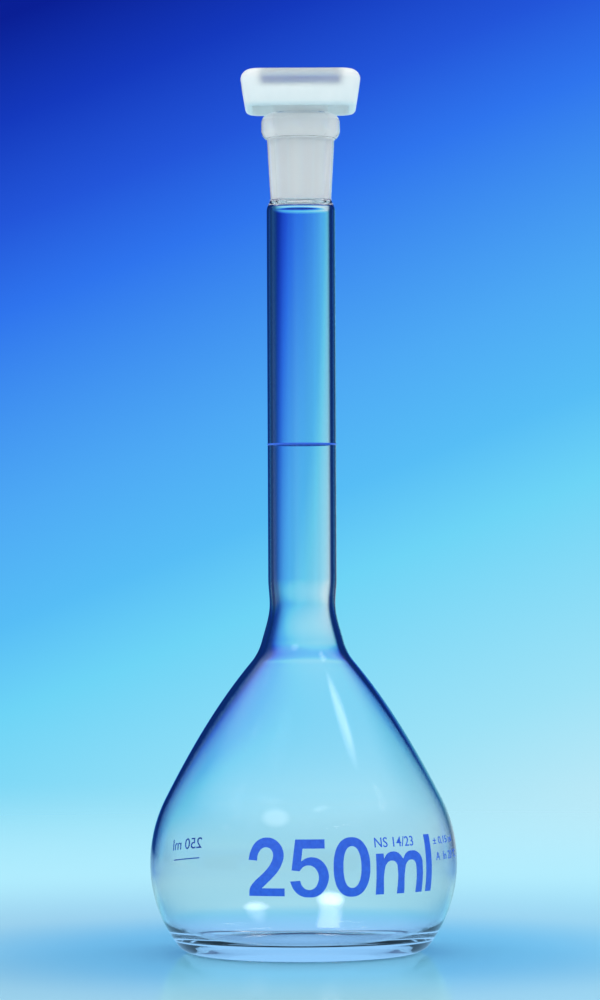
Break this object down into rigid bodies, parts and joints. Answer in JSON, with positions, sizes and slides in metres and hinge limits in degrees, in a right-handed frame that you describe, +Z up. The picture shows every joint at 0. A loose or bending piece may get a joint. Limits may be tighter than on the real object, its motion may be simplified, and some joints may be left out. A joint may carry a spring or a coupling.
{
  "type": "volumetric flask",
  "caption": "Volumetric flask: a pear-shaped glass bulb under a long neck with a graduation ring, and a ground socket closed by a lift-out plastic stopper with a square grip.",
  "frame": {"origin": "centre of the foot, on the surface that it stands on", "axes": "+Z up along the axis to the mouth, -Y towards the printed front, the flat sides of the stopper's grip towards X and Y"},
  "size_m": [0.0804, 0.0804, 0.2305],
  "materials": {
    "borosilicate_glass": "fire-polished, clear; the socket is ground matt inside",
    "blue_enamel": "fired gloss enamel",
    "natural_polypropylene": "milky, translucent, satin moulded"
  },
  "bodies": {
    "flask": {"bulb": "borosilicate_glass", "neck_tube": "borosilicate_glass", "ground_socket": "borosilicate_glass", "graduation_ring": "blue_enamel"},
    "stopper": {"stopper": "natural_polypropylene"}
  },
  "joints": [
    {"name": "stopper_lift", "type": "slide", "parent": "flask", "child": "stopper", "axis": [0, 0, 1], "range_m": [0, 0.06]}
  ]
}
